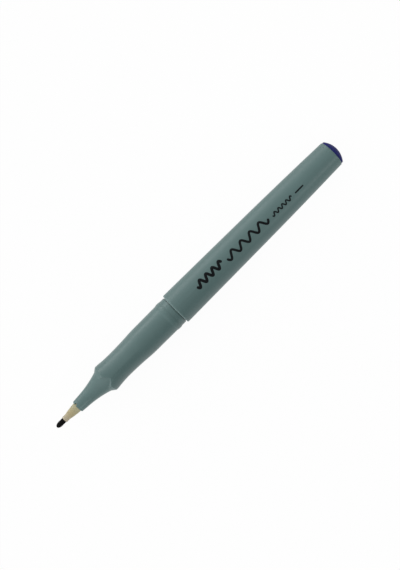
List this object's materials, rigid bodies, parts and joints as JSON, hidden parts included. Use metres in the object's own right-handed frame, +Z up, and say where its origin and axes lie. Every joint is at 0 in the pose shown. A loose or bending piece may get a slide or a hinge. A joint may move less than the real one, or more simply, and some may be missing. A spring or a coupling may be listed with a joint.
{
  "type": "fineliner pen",
  "caption": "Uncapped fibre-tip fineliner: slim nose, scooped finger grip with a cap ridge, tapered barrel with a push-in end plug, and a wrapped ink reservoir inside.",
  "frame": {"origin": "on the surface that the pen lies on, under the middle of its length", "axes": "+X along the pen from the nib to the tail, +Z up, +Y across"},
  "size_m": [0.131, 0.012, 0.012],
  "materials": {
    "nib_fibre": "ink-soaked black fibre",
    "holder_plastic": "satin cream plastic",
    "grip_plastic": "semi-gloss grey-green plastic",
    "barrel_plastic": "satin grey-green plastic",
    "plug_plastic": "glossy dark blue-violet plastic",
    "reservoir_fibre": "ink-soaked fibre",
    "wrap_film": "thin film"
  },
  "bodies": {
    "barrel": {"barrel": "barrel_plastic", "ink_reservoir": "reservoir_fibre", "reservoir_wrap": "wrap_film"},
    "front": {"grip_section": "grip_plastic", "nib_holder": "holder_plastic", "nib": "nib_fibre"},
    "tail_plug": {"end_plug": "plug_plastic"}
  },
  "joints": [
    {"name": "front_pull", "type": "slide", "parent": "barrel", "child": "front", "axis": [-1, 0, 0], "range_m": [0, 0.046]},
    {"name": "plug_pull", "type": "slide", "parent": "barrel", "child": "tail_plug", "axis": [1, 0, 0], "range_m": [0, 0.014]}
  ]
}
